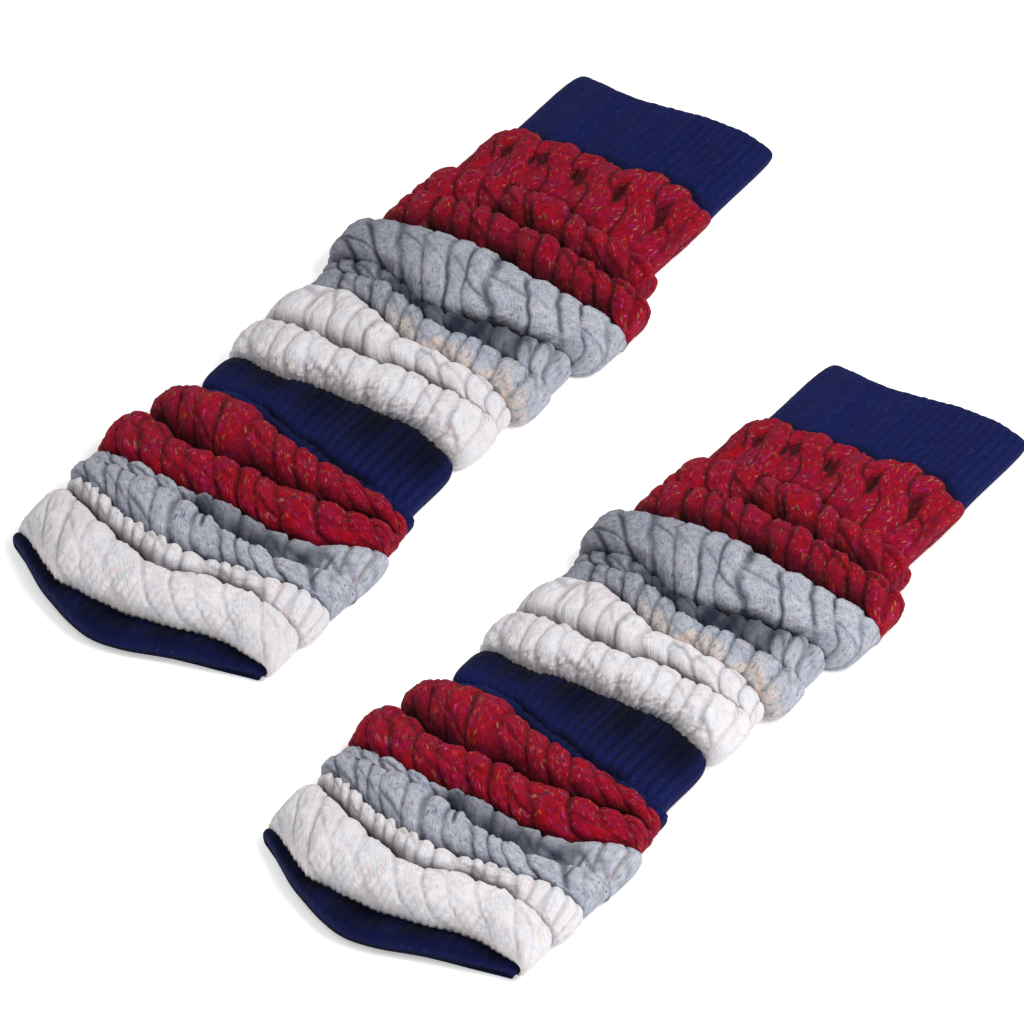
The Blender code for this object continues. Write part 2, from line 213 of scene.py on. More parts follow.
LINE_FADE, LINE_LEAST = 0.5, 0.15  # how unevenly a line fades on its way, and how faint it may get
TUCK_HALF = 1.3  # half the length of the dip where a strand goes under itself at a turn of its cable
TUCK_SHARE = 0.55  # how deep that dip is on average, as a share of the deepest
TUCK_UNEVEN = 0.6  # how much deeper it may be on one strand than on the next, likewise
TUCK_SPREAD = 0.22  # how far from a fold's middle it may be, as a share of the fold's cloth
TUCK_SLANT = 0.55  # how far it runs along the sock for each millimetre across
TUCK_DEPTH, TUCK_DARK = 0.8, 0.7  # how deep the deepest dip is and how dark its painted shade is, as shares of a line's
TUCK_STEP = 0.35  # how much higher the strand comes out again, as a share of a strand's height
TWIST_LENGTH = 62.0  # cloth in which a cable's two strands turn once round each other
STRAND_SWING = 0.23  # how far a strand swings from its cable's middle, as a share of the cable's width
STRAND_HALF = 0.39  # half a strand's width, likewise
STRAND_LIFT = 0.22  # share that the strand in front stands higher
CABLE_WANDER = 0.07  # how far a cable wanders sideways, as a share of its width
CABLE_SWAY = 0.05  # how far it sways on its way along the sock, likewise
TWIST_UNEVEN = 0.07  # how far a cable's twist may be ahead of the next, in turns
SIDE_RELIEF = 0.5  # share of the relief that is left at a sock's two sides, where the cloth is stretched
SIDE_START = 0.86  # where across a sock the relief starts to be less
RUN_OUT = 0.16  # share of a fold at each of its lines where the strands flatten
END_RELIEF = 0.3  # share of a strand's height that is left at a line
CABLE_END_RELIEF = 0.5  # the same at a cable's upper line
STRAND_SUNK = 0.55  # share of a strand's height that lies below the fold's own form
RIBS = 27  # across the upper side
RIB_WANDER = 0.12  # how far a rib wanders sideways, as a share of its width
WALE = 2.9  # width of one column of stitches
WALE_HEIGHT = 0.04
EDGE_WALE = 0.45  # more height for the columns at a fold's lower edge
EDGE_WALE_REACH = (0.05, 0.3)  # from where to where along a fold those run out
COURSE = 2.0  # height of one row of stitches
ROOM = 0.92  # share of the way to the next fold that relief may take
KNOB = 0.6  # height of the small uneven bumps of the knitting
RIB_KNOB = 0.3  # share of that on a ribbed fold
CREASE_SHARPNESS = 4  # exponent of a crease's profile
CREASE_FADE, JOIN_FADE = 0.2, 0.3  # how far across a crease, and a join's start, take to fade in
JOIN_UNEVEN = 0.3  # how unevenly far a join reaches
JOIN_EDGES = (0.7, 1.1)  # where along its reach a join starts and stops fading
FAR_DARK = (-1.1, 0.5)  # from where to where across a band the painted shade of its far end fades
FOLD_NOISE_STEP = 50.0  # how far apart two folds read the yarn's noise

INNER_UPPER, INNER_CORNER, INNER_UNDER = 48, 3, 8  # strips round a band's inside
OUTER_CORNER, OUTER_UNDER = 12, 30  # strips below the widest points of its outside
INNER_ROWS = 6  # strips along each fold of the inside
SEAM = 0.05  # between two bands, on each side of their line


def mix(a, b, share):
    return a + (b - a) * share


def smooth(low, high, value):
    share = np.clip((value - low) / (high - low), 0, 1)
    return share * share * (3 - 2 * share)


def wave(place, seed):
    """A smooth, uneven wave between about -1 and 1."""
    turn = 2.4 * seed
    slow = np.sin(place + turn)
    middling = 0.6 * np.sin(1.7 * place + 2.3 * turn)
    quick = 0.4 * np.sin(2.9 * place + 3.9 * turn)
    return (slow + middling + quick) / 1.6


def across(values, u):
    """A smooth curve through evenly spaced values, read at u: -1 at the far side and 1 at the near side."""
    values = np.array(values, float)
    spans = len(values) - 1
    place = np.clip((u + 1) / 2, 0, 1) * spans
    i = np.minimum(place.astype(int), spans - 1)
    f = place - i
    longer = np.concatenate(([2 * values[0] - values[1]], values, [2 * values[-1] - values[-2]]))
    before, start, end, after = (longer[i + k] for k in range(4))
    slope_in = (end - before) / 2
    slope_out = (after - start) / 2
    square = 3 * (end - start) - 2 * slope_in - slope_out
    cube = slope_in + slope_out - 2 * (end - start)
    return start + f * (slope_in + f * (square + f * cube))


def scallops(index, u):
    """How much farther up a line lies at its scallops: rounded tops with sharp dips between them."""
    if index not in SCALLOPS:
        return 0.0
    shape = SCALLOPS[index]
    place = girth_share(u) * shape.count + shape.start
    return shape.height * (2 * np.abs(np.sin(math.pi * (place + 0.15 * wave(2 * place, index)))) - 1.2)


def line_y(index, u):
    line = LINES[index]
    smooth_line = across((line.y_far, line.y_far_mid, line.y_mid, line.y_near_mid, line.y_near), u)
    open_edge = index in (0, len(LINES) - 1)
    uneven = (OPEN_EDGE_WAVE if open_edge else 1) * LINE_WAVE * wave(8 * u, index) + scallops(index, u)
    return smooth_line + uneven * np.clip(1 - u**6, 0, 1)


def line_z(index, u):
    line = LINES[index]
    return across((line.z_far, line.z_mid, line.z_near), u)


def under_y(index, u):
    """Where a line lies on the underside: straighter than on the upper side."""
    line = LINES[index]
    return mix(mix(line.y_far, line.y_near, (u + 1) / 2), line_y(index, u), UNDER_FOLLOW)


def rounded(angle, roundness):
    """A unit superellipse's upper half, from 0 at the near side to pi at the far side."""
    power = 2 / roundness
    c = np.cos(angle)
    return np.sign(c) * np.abs(c) ** power, np.clip(np.sin(angle), 0, 1) ** power


def lengths_along(points):
    """How far along a row of points each of them lies."""
    return np.concatenate(([0], np.cumsum(np.linalg.norm(np.diff(points, axis=0), axis=1))))


def evenly(points, strips):
    """Places, as shares of the way through a fine row of points, that part it into strips of equal length."""
    lengths = lengths_along(points)
    wanted = np.linspace(0, lengths[-1], strips + 1)
    return np.interp(wanted, lengths, np.linspace(0, 1, len(points))), lengths[-1]


def nominal_section():
    """The upper side of the nominal section as a fine row of points."""
    cross, lift = rounded(np.linspace(0, math.pi, 801), ROUNDNESS)
    return np.stack((NOMINAL_HALF_WIDTH * cross, NOMINAL_RISE * lift), axis=1)


UPPER_LENGTH = evenly(nominal_section(), 1)[1]


def girth_share(u):
    """How far round the upper side a place across it lies: 0 at the near side and 1 at the far side."""
    section = nominal_section()
    lengths = lengths_along(section)
    return np.interp(-u, -section[:, 0] / NOMINAL_HALF_WIDTH, lengths / lengths[-1])


class Columns:
    """The columns of points round a section: over the top, down the far side, below, and up the near side."""

    def __init__(self, upper, corner, under):
        shares, _ = evenly(nominal_section(), upper)
        self.angle = shares * math.pi
        self.corner = np.linspace(0, math.pi / 2, corner + 1)[1:]
        self.place = np.linspace(-1, 1, under + 1)[1:-1]
        # Where each column lies round the section: 0 to 1 over the upper side and 1 to 2 below it
        corner_share = np.sin(self.corner / 2) / math.sin(math.pi / 4)
        corners = SIDE_SHARE * corner_share
        over = np.linspace(0, 1, upper + 1)
        below = np.linspace(1 + SIDE_SHARE, 2 - SIDE_SHARE, under + 1)[1:-1]
        self.round = np.concatenate((over, 1 + corners, below, 2 - corners[::-1]))
        # The same as a length of cloth from the near side, for the strands, ribs and stitches
        self.girth = UPPER_LENGTH * np.where(self.round > 2 - SIDE_SHARE, self.round - 2, self.round)
        # How much relief stands there: all of it above, less at the sides, and none where the cloth lies flat
        cross = np.abs(rounded(self.angle, ROUNDNESS)[0])
        above = mix(1, SIDE_RELIEF, smooth(SIDE_START, 1, cross))
        beside = SIDE_RELIEF * (1 - corner_share)
        self.raised = np.concatenate((above, beside, np.zeros(under - 1), beside[::-1]))


class FoldSkin:
    """One face of a fold: t runs from 0 at its lower line to 1 at its upper line."""

    def __init__(self, index, t, wall=0.0):
        self.index, self.wall = index, wall
        fold, start, end = FOLDS[index], LINES[index], LINES[index + 1]
        turn, rise = rounded(math.pi * t[:, None], FOLD_ROUNDNESS)
        self.fold, self.rise, self.travel = fold, rise, (1 - turn) / 2
        self.turn = np.where((t[:, None] > 0) & (t[:, None] < 1), turn, 0.0)
        far = mix(mix(start.x_far, end.x_far, self.travel), fold.bulge_far, rise)
        near = mix(mix(start.x_near, end.x_near, self.travel), fold.bulge_near, rise)
        self.middle, self.half = (far + near) / 2, (near - far) / 2

    def top(self, u):
        base = mix(line_z(self.index, u), line_z(self.index + 1, u), self.travel)
        crest = self.fold.crest + CREST_WAVE * wave(9 * u, 20 + self.index)
        return mix(base, crest, self.rise)

    def waist(self, u):
        return self.wall + (self.top(u) - 2 * self.wall) * WAIST

    def y(self, u, read):
        low, high = read(self.index, u), read(self.index + 1, u)
        groove = np.minimum(line_z(self.index, u), line_z(self.index + 1, u))
        upright = np.clip((self.fold.crest - groove) / TALL_FOLD, 0, 1)
        inset = np.minimum(self.wall * upright, MOST_INSET * (high - low))
        return mix(low, high, self.travel) + inset * self.turn

    def upper(self, angle):
        cross, lift = rounded(angle[None, :], ROUNDNESS)
        x = self.middle + (self.half - self.wall) * cross
        u = (x - self.middle) / self.half
        z = mix(self.waist(u), self.top(u) - self.wall, lift)
        hang = self.fold.lean * lift + self.fold.droop * smooth(DROOP_START, 1, u)
        y = self.y(u, line_y) - self.rise * hang
        return np.stack(np.broadcast_arrays(x, y, z), axis=-1)

    def corner(self, side, turned):
        """The rounded side below the widest point, turned from 0 there to pi / 2 at the underside."""
        short, sunk = 1 - np.cos(turned)[None, :], 1 - np.sin(turned)[None, :]
        waist = self.waist(np.array([[float(side)]]))
        x = self.middle + side * (self.half - self.wall - CORNER * waist * short)
        u = (x - self.middle) / self.half
        y = mix(self.y(u, line_y), self.y(u, under_y), short)
        if side > 0:
            y = y - self.fold.droop * self.rise * (1 - short)
        return np.stack(np.broadcast_arrays(x, y, self.wall + (waist - self.wall) * sunk), axis=-1)

    def under(self, place):
        place = place[None, :]
        x = self.middle + place * (self.half - self.wall - CORNER * self.waist(place))
        y = self.y((x - self.middle) / self.half, under_y)
        return np.stack(np.broadcast_arrays(x, y, np.full_like(x, self.wall)), axis=-1)

    def points(self, columns):
        """The whole face as rows of points, one row for each t."""
        far = self.corner(-1, columns.corner)
        near = self.corner(1, columns.corner[::-1])
        return np.concatenate((self.upper(columns.angle), far, self.under(columns.place), near), axis=1)


def fold_middle(index):
    """The fold's line along the middle of the sock, as a fine row of points."""
    t = np.linspace(0, 1, 201)
    return FoldSkin(index, t).upper(np.array([math.pi / 2]))[:, 0, :]


CLOTH = [evenly(fold_middle(index), 1)[1] for index in range(len(FOLDS))]
CLOTH_STARTS = np.concatenate(([0], np.cumsum(CLOTH)))


def facing(points):
    """The direction that each point of a face looks in, outwards."""
    along = np.gradient(points, axis=0)
    round_section = np.roll(points, -1, axis=1) - np.roll(points, 1, axis=1)
    away = np.cross(along, round_section)
    return away / np.maximum(np.linalg.norm(away, axis=2, keepdims=True), 1e-9)


def ridge(share, sharpness=2.4, flatness=0.62):
    """A rounded ridge across a share from 0 to 1: high in the middle, with a narrow groove on each side."""
    return np.clip(1 - np.abs(2 * share - 1) ** sharpness, 0, 1) ** flatness


def scatter(number, seed):
    """A fixed, scattered value from -1 to 1 for each whole number."""
    return np.sin(12.9898 * number + 78.233 * seed) * 43758.5453 % 2 - 1


def knobs(girth, along, seed):
    """Uneven bumps a few millimetres across, mostly between -1 and 1."""
    small = wave(girth / 1.1 + np.sin(along / 3), seed) * wave(along / 1.2 + np.sin(girth / 4), seed + 3)
    broad = wave((girth + along) / 3.1, seed + 5) * wave((girth - along) / 3.7, seed + 6)
    return 0.7 * small + broad


# How far each point stands out, the column of stitches that it lies in, and how dark the painted shade is in
# a groove
Relief = namedtuple("Relief", "height wale groove")


def strand_relief(shows, index, t, way, columns):
    """Slanted strands side by side: the turns of the cables, as they show on a roll."""
    width = UPPER_LENGTH / shows.count
    length = way[-1, 0]
    moved = shows.slant * (way - length / 2) + shows.bow * np.sin(math.pi * way / length)
    even = (columns.girth - moved) / width + shows.start
    place = even + STRAND_UNEVEN * wave(1.1 * even, index) + STRAND_SWAY * wave(way / 6 + 2 * even, index + 2)
    strand, line = np.floor(place), np.round(place)
    fading = np.clip(0.95 + LINE_FADE * wave(way / 9 + 2 * line, index), LINE_LEAST, 1)
    strength = (1 - LINE_SPREAD + LINE_SPREAD * scatter(line, index)) * fading
    ends = smooth(0, RUN_OUT, t) * smooth(0, RUN_OUT, 1 - t)
    half = LINE_HALF * (1 + LINE_UNEVEN * scatter(line, index + 5)) * mix(LINE_FAINT, 1, shows.line)
    half = half * mix(LINE_FLARE, 1, ends)
    cut = strength * np.exp(-((np.abs(place - line) * width / half) ** LINE_SHARPNESS))
    uneven = DOME_UNEVEN * (scatter(strand, index + 7) + wave(way / 7 + 3 * strand, index))
    dome = ridge(place - strand, 2.2, 0.8) * (1 + uneven)
    tuck_middle = length * (0.5 + TUCK_SPREAD * scatter(strand, index + 11))
    past = (way - tuck_middle - TUCK_SLANT * width * (place - strand - 0.5)) / TUCK_HALF
    tucked = np.clip(TUCK_SHARE + TUCK_UNEVEN * scatter(strand, index + 13), 0, 1) * ends
    dip = tucked * np.exp(-(past**2))
    step = tucked * TUCK_STEP * np.tanh(past) * np.exp(-((past / 5) ** 2))
    body = (dome - STRAND_SUNK) * mix(END_RELIEF, 1, ends) + step
    height = shows.height * body - LINE_DEPTH * np.maximum(cut, TUCK_DEPTH * dip)
    # painted shade in the lines between strands and in the dips where a strand goes under
    groove = np.maximum(cut, TUCK_DARK * dip) * shows.line
    return Relief(height * columns.raised, place * width / WALE, groove * columns.raised)


def cable_relief(shows, index, t, way, columns):
    """Cables of two strands that twist round each other like a rope."""
    width = UPPER_LENGTH / shows.count
    wander = CABLE_WANDER * wave(columns.girth / 17, index) + CABLE_SWAY * wave(way / 7, index + 3)
    place = columns.girth / width + shows.start + wander
    cable = np.floor(place)
    across_cable = place - cable - 0.5
    turn = 2 * math.pi * (way / TWIST_LENGTH + shows.twist + TWIST_UNEVEN * scatter(cable, index))
    swing, over = -STRAND_SWING * np.cos(turn), np.sin(turn)
    strands = []
    for side in (1, -1):
        from_middle = across_cable - side * swing
        uneven = 1 + DOME_UNEVEN * scatter(2 * cable + side, index)
        shape = ridge((from_middle / STRAND_HALF + 1) / 2)
        strands.append((shape * uneven * (1 + side * STRAND_LIFT * over), place - side * swing))
    front = strands[0][0] >= strands[1][0]
    high = np.where(front, strands[0][0], strands[1][0])
    low = np.where(front, strands[1][0], strands[0][0])
    wale = np.where(front, strands[0][1], strands[1][1]) * width / WALE
    lower_end = mix(END_RELIEF, 1, smooth(0, RUN_OUT, t))
    upper_end = mix(CABLE_END_RELIEF, 1, smooth(0, RUN_OUT, 1 - t))
    # painted shade between the two strands of a cable and where both lie low
    between = np.clip(1 - (high - low) / 0.22, 0, 1) * np.clip(low / 0.3, 0, 1)
    groove = np.maximum(between, 1 - np.clip(high / 0.6, 0, 1) ** 2)
    height = shows.height * (high - STRAND_SUNK) * (lower_end * upper_end)
    return Relief(height * columns.raised, wale, groove * shows.line * columns.raised)


def rib_relief(band, t, way, columns):
    """The ribs of a ribbed fold."""
    place = columns.girth / UPPER_LENGTH * RIBS + RIB_WANDER * wave(way / 11, 2)
    share = place - np.floor(place)
    near = smooth(0.15, 0.75, 1 - columns.round)
    edge = smooth(0, 0.25, t) * smooth(0, 0.15, 1 - t)
    stands = mix(band.rib_far, band.rib_near, near) * edge * columns.raised
    shape = np.sin(math.pi * share) ** 1.3
    # painted shade in the grooves between ribs
    groove = (1 - shape) ** 1.5 * np.clip(stands, 0, 1) * band.groove
    return Relief(shape * stands, place * 2, groove)


def fold_relief(index, t, way, columns):
    fold = FOLDS[index]
    if fold.shows is None:
        return rib_relief(BANDS[fold.band], t, way, columns)
    made = strand_relief if isinstance(fold.shows, Strands) else cable_relief
    return made(fold.shows, index, t, way, columns)


def nick_cut(points):
    """How deep each point lies in the short creases, from 0 to 1: it sinks the cloth there and sets its
    painted shade.
    """
    cut = np.zeros(points.shape[:2])
    for nick in NICKS:
        turn = math.radians(nick.turn)
        x, y = points[:, :, 0] - nick.x, points[:, :, 1] - nick.y
        along = (x * math.cos(turn) + y * math.sin(turn)) * 2 / nick.length
        beside = (x * math.sin(turn) - y * math.cos(turn)) * 2 / nick.width
        cut = np.maximum(cut, nick.dark * np.exp(-(along**4) - beside**2))
    return cut


# Rows of points, and for each its place in the stitches and the cloth, how much painted shade it gets and its
# join
Face = namedtuple("Face", "points knit cloth hollow join")


def fold_face(index, first, columns):
    """A fold's outer face with its relief, from its first wanted row of points to its upper line."""
    fold = FOLDS[index]
    shares, length = evenly(fold_middle(index), round(CLOTH[index] / GRID))
    way = np.linspace(0, length, len(shares))[first:, None]
    t = shares[first:, None]
    skin = FoldSkin(index, shares[first:])
    points = skin.points(columns)
    relief = fold_relief(index, t, way, columns)
    girth = columns.girth + 0 * way
    cloth_y = CLOTH_STARTS[index] + way + 0 * girth
    raised = columns.raised
    edge_wale = EDGE_WALE * (1 - smooth(*EDGE_WALE_REACH, t)) if fold.shows else 0
    wale_height = WALE_HEIGHT + edge_wale
    wales = ridge(relief.wale % 1, 2.0, 0.8) * wale_height * raised
    bumps = KNOB * (1 if fold.shows else RIB_KNOB) * knobs(girth, cloth_y, index) * raised
    nick = nick_cut(points) * raised
    moved = facing(points) * (relief.height + wales + bumps - NICK_DEPTH * nick)[:, :, None]
    u = (points[:, :, 0] - skin.middle) / skin.half
    upright_y = skin.y(u, line_y)
    to_line = np.minimum(upright_y - line_y(index, u), line_y(index + 1, u) - upright_y)
    room = ROOM * np.maximum(to_line, 0)
    moved[:, :, 1] = np.clip(moved[:, :, 1], -room, room)
    moved[:, :, 2] = np.maximum(moved[:, :, 2], -points[:, :, 2])
    # painted shade: in the creases, in the grooves, in the nicks, and towards the band's far end
    crease = crease_shade(index, u, way, length) * raised
    # painted shade that darkens the band towards its far end
    dye_and_far_shade = BANDS[fold.band].far_dark * (1 - smooth(*FAR_DARK, u))
    hollow = 1 - (1 - relief.groove) * (1 - crease) * (1 - nick) * (1 - dye_and_far_shade)
    knit = np.stack((relief.wale + 0 * girth, cloth_y / COURSE, 0 * girth), axis=-1)
    cloth = np.stack((girth, cloth_y, np.full_like(girth, FOLD_NOISE_STEP * index)), axis=-1)
    join = join_share(fold.band, u, cloth_y - band_start(fold.band))
    return Face(points + moved, knit, cloth, hollow, join)


def band_folds(name):
    """A band's folds by number, each with the first row of points that it adds to those before it."""
    numbers = [index for index, fold in enumerate(FOLDS) if fold.band == name]
    return [(index, 0 if index == numbers[0] else 1) for index in numbers]


def outer_face(name):
    """The fine outer face of a band."""
    columns = Columns(round(UPPER_LENGTH / GRID), OUTER_CORNER, OUTER_UNDER)
    faces = [fold_face(index, first, columns) for index, first in band_folds(name)]
    return columns, Face(*(np.concatenate(parts) for parts in zip(*faces)))


def band_start(name):
    """How much cloth lies before a band."""
    return CLOTH_STARTS[[fold.band for fold in FOLDS].index(name)]


def join_share(name, u, way):
    """How much of the joining yarn shows at each point."""
    if name not in JOINS:
        return np.zeros_like(u)
    join = JOINS[name]
    inside = smooth(join.start, join.start + JOIN_FADE, u) * smooth(-join.end, CREASE_FADE - join.end, -u)
    reach = join.reach * (1 + JOIN_UNEVEN * wave(15 * u, 4))
    return inside * (1 - smooth(*JOIN_EDGES, way / reach))


def crease_shade(index, u, way, length):
    """The painted shade of a fold's cloth in the creases along its two lines, from 0 to 1."""
    shade = np.zeros_like(u)
    for crease in CREASES:
        if crease.line not in (index, index + 1):
            continue
        away, reach = (way, crease.above) if crease.line == index else (length - way, crease.below)
        begun = smooth(crease.start, crease.start + CREASE_FADE, u)
        inside = begun * smooth(-crease.end, CREASE_FADE - crease.end, -u)
        depth = crease.depth * inside * np.clip(0.9 + 0.2 * wave(14 * u, crease.line), 0, 1)
        shade = np.maximum(shade, depth * np.exp(-((away / reach) ** CREASE_SHARPNESS)))
    return shade


def inner_face(name):
    """A band's plain inside."""
    columns = Columns(INNER_UPPER, INNER_CORNER, INNER_UNDER)
    t = np.linspace(0, 1, INNER_ROWS + 1)
    rows = [FoldSkin(index, t[first:], WALL).points(columns) for index, first in band_folds(name)]
    return columns, np.concatenate(rows)


def strips(rows, count, first, outwards):
    """Faces between rows of points that go round."""
    at = first + np.arange(rows * count).reshape(rows, count)
    a, b = at[:-1], np.roll(at[:-1], -1, axis=1)
    c, d = np.roll(at[1:], -1, axis=1), at[1:]
    corners = (a, b, c, d) if outwards else (d, c, b, a)
    return np.stack(corners, axis=-1).reshape(-1, 4).tolist()


def rim(outer, inner, outer_round, inner_round, outwards):
    """The open end of a band: faces between its outer and its inner row of points."""
    outer_after = np.append(outer_round[1:], 2.0)
    inner_after = np.append(inner_round[1:], 2.0)
    faces = []
    i = j = 0
    while i < len(outer) or j < len(inner):
        a, b = outer[i % len(outer)], inner[j % len(inner)]
        outer_next = outer_after[i] if i < len(outer) else math.inf
        inner_next = inner_after[j] if j < len(inner) else math.inf
        if outer_next <= inner_next:
            i += 1
            face = (a, outer[i % len(outer)], b)
        else:
            j += 1
            face = (a, inner[j % len(inner)], b)
        faces.append(face if outwards else face[::-1])
    return faces


def spread_attribute(mesh, name, values, inside):
    """Writes values for the outer points, and the same numbers for all the inner ones."""
    kind, field = ("FLOAT_VECTOR", "vector") if len(inside) == 3 else ("FLOAT", "value")
    attribute = mesh.attributes.new(name, kind, "POINT")
    flat = values.reshape(-1, len(inside))
    inner = np.broadcast_to(np.array(inside, float), (len(mesh.vertices) - len(flat), len(inside)))
    attribute.data.foreach_set(field, np.concatenate((flat, inner)).astype(np.float32).ravel())


def band_mesh(name):
    outer_columns, outer = outer_face(name)
    inner_columns, inner = inner_face(name)
    for rows in (outer.points, inner):
        rows[0, :, 1] += SEAM
        rows[-1, :, 1] -= SEAM
    outer_rows, outer_count = outer.points.shape[:2]
    inner_rows, inner_count = inner.shape[:2]
    outer_total = outer_rows * outer_count
    points = np.concatenate((outer.points.reshape(-1, 3), inner.reshape(-1, 3))) * MM
    faces = strips(outer_rows, outer_count, 0, True)
    faces += strips(inner_rows, inner_count, outer_total, False)
    for row_outer, row_inner, outwards in ((0, 0, False), (outer_rows - 1, inner_rows - 1, True)):
        ring = row_outer * outer_count + np.arange(outer_count)
        inner_ring = outer_total + row_inner * inner_count + np.arange(inner_count)
        faces += rim(ring.tolist(), inner_ring.tolist(), outer_columns.round, inner_columns.round, outwards)
    mesh = bpy.data.meshes.new(name)
    mesh.from_pydata(points.tolist(), [], faces)
    mesh.shade_smooth()
    spread_attribute(mesh, "knit", outer.knit, (0.25, 0.25, 0))
    spread_attribute(mesh, "cloth", outer.cloth, (0, 0, 0))
    # painted shade, with the inside of the sock painted dark
    spread_attribute(mesh, "hollow", outer.hollow, (INSIDE_PAINTED_SHADE,))
    spread_attribute(mesh, "join", outer.join, (0,))
    return mesh


# ---------------- yarns

KNIT_BUMP = 0.35 * MM
KNIT_STRENGTH = 0.8
STITCH_HEIGHT = 0.5  # how high the stitches stand, as a share of that
FUZZ_HEIGHT = 1.6  # how high the loose fibres stand, likewise
PLY = {"Fineness": 1.0, "Share": 0.5, "Length": 1.0, "Seed": 3.0}  # the darker ply, on half of the legs
FLECK_SEED = 7.0
LEG_SLOPE = 0.8  # how many rows a stitch's leg climbs on its way out from the middle of its column
LEG_ROUND, STITCH_ROUND = 2.5, 2.2  # exponents of a leg's profile across and along
LEAST_ROUGH, MOST_ROUGH = 0.85, 1.0
SPECULAR = 0.06
SHEEN_ROUGHNESS = 0.6


def add(tree, kind, inputs=(), **settings):
    """A node with its settings. Its inputs, by name or number, are values or the sockets that feed them."""
    node = tree.nodes.new(kind)
    for name, value in settings.items():
        setattr(node, name, value)
    for key, value in dict(inputs).items():
        if isinstance(value, bpy.types.NodeSocket):
            tree.links.new(value, node.inputs[key])
        else:
            node.inputs[key].default_value = value
    return node


def sum_up(tree, operation, *values):
    """The result of a Math node."""
    return add(tree, "ShaderNodeMath", dict(enumerate(values)), operation=operation).outputs[0]


def blend(tree, share, a, b):
    """A mix of two colours by a share."""
    return add(tree, "ShaderNodeMix", {0: share, 6: a, 7: b}, data_type="RGBA").outputs[2]


def use_group(tree, group, inputs):
    """A placed shader group, with values or sockets for its inputs, and its outputs."""
    return add(tree, "ShaderNodeGroup", inputs, node_tree=group).outputs


def read_attribute(tree, name, output):
    """What the mesh says of each point under this name."""
    return add(tree, "ShaderNodeAttribute", attribute_name=name).outputs[output]


def arch(tree, share, power):
    """A rounded rise over a share from 0 to 1: 1 in its middle and 0 at both ends."""
    centred = sum_up(tree, "SUBTRACT", sum_up(tree, "MULTIPLY", share, 2.0), 1.0)
    return sum_up(tree, "SUBTRACT", 1.0, sum_up(tree, "POWER", sum_up(tree, "ABSOLUTE", centred), power))


def opaque(colour):
    return (*colour, 1.0)


FLOAT, VECTOR, COLOUR = "NodeSocketFloat", "NodeSocketVector", "NodeSocketColor"


def new_group(name, inputs, outputs):
    """An empty shader group with named inputs, each with its kind and starting value, and named outputs."""
    group = bpy.data.node_groups.new(name, "ShaderNodeTree")
    for title, kind, value in inputs:
        socket = group.interface.new_socket(title, in_out="INPUT", socket_type=kind)
        if value is not None:
            socket.default_value = value
    for title, kind in outputs:
        group.interface.new_socket(title, in_out="OUTPUT", socket_type=kind)
    return group, group.nodes.new("NodeGroupInput").outputs, group.nodes.new("NodeGroupOutput").inputs


def leg_places(group, knit):
    """A stitch's two legs: how far out from the column's middle a point is, its side and its row."""
    parts = add(group, "ShaderNodeSeparateXYZ", {0: knit}).outputs
    from_middle = sum_up(group, "SUBTRACT", sum_up(group, "FRACT", parts[0]), 0.5)
    out = sum_up(group, "MULTIPLY", sum_up(group, "ABSOLUTE", from_middle), 2.0)
    half = sum_up(group, "FLOOR", sum_up(group, "MULTIPLY", parts[0], 2.0))
    row = sum_up(group, "SUBTRACT", parts[1], sum_up(group, "MULTIPLY", out, LEG_SLOPE))
    return out, half, row


def build_stitches():
    """Knitted stitches as V-shaped pairs of legs: their height, and a mask of the gaps between them, where
    painted shade goes.
    """
    outputs = [("Height", FLOAT), ("Gap", FLOAT)]
    group, given, made = new_group("knitted_stitches", [("Knit", VECTOR, None)], outputs)
    out, _, row = leg_places(group, given["Knit"])
    leg = arch(group, out, LEG_ROUND)
    swell = arch(group, sum_up(group, "FRACT", row), STITCH_ROUND)
    height = sum_up(group, "MULTIPLY", leg, sum_up(group, "MULTIPLY_ADD", swell, 0.6, 0.4))
    group.links.new(height, made["Height"])
    group.links.new(sum_up(group, "SUBTRACT", 1.0, height), made["Gap"])
    return group


def build_flecks():
    """Tweed flecks: single stitch legs of another colour, with a number that picks the colour."""
    inputs = [("Knit", VECTOR, None), ("Fineness", FLOAT, 1.0), ("Share", FLOAT, 0.1)]
    inputs += [("Length", FLOAT, 1.0), ("Seed", FLOAT, 0.0)]
    group, given, made = new_group("tweed_flecks", inputs, [("Mask", FLOAT), ("Pick", FLOAT)])
    scaled = {0: given["Knit"], "Scale": given["Fineness"]}
    fine = add(group, "ShaderNodeVectorMath", scaled, operation="SCALE")
    out, half, row = leg_places(group, fine.outputs[0])
    rows = sum_up(group, "DIVIDE", row, given["Length"])
    cell = add(group, "ShaderNodeCombineXYZ", {0: half, 1: sum_up(group, "FLOOR", rows), 2: given["Seed"]})
    chance = add(group, "ShaderNodeTexWhiteNoise", {0: cell.outputs[0]}, noise_dimensions="3D")
    chosen = sum_up(group, "LESS_THAN", chance.outputs["Value"], given["Share"])
    wide = arch(group, out, 2.0)
    long = arch(group, sum_up(group, "FRACT", rows), 2.0)
    inside = {0: sum_up(group, "MULTIPLY", wide, long), 1: 0.05, 2: 0.45}
    soft = add(group, "ShaderNodeMapRange", inside, interpolation_type="SMOOTHSTEP").outputs[0]
    picks = add(group, "ShaderNodeSeparateColor", {0: chance.outputs["Color"]}).outputs
    strength = sum_up(group, "MULTIPLY_ADD", picks[2], 0.55, 0.25)
    mask = sum_up(group, "MULTIPLY", sum_up(group, "MULTIPLY", chosen, soft), strength)
    group.links.new(mask, made["Mask"])
    group.links.new(picks[1], made["Pick"])
    return group


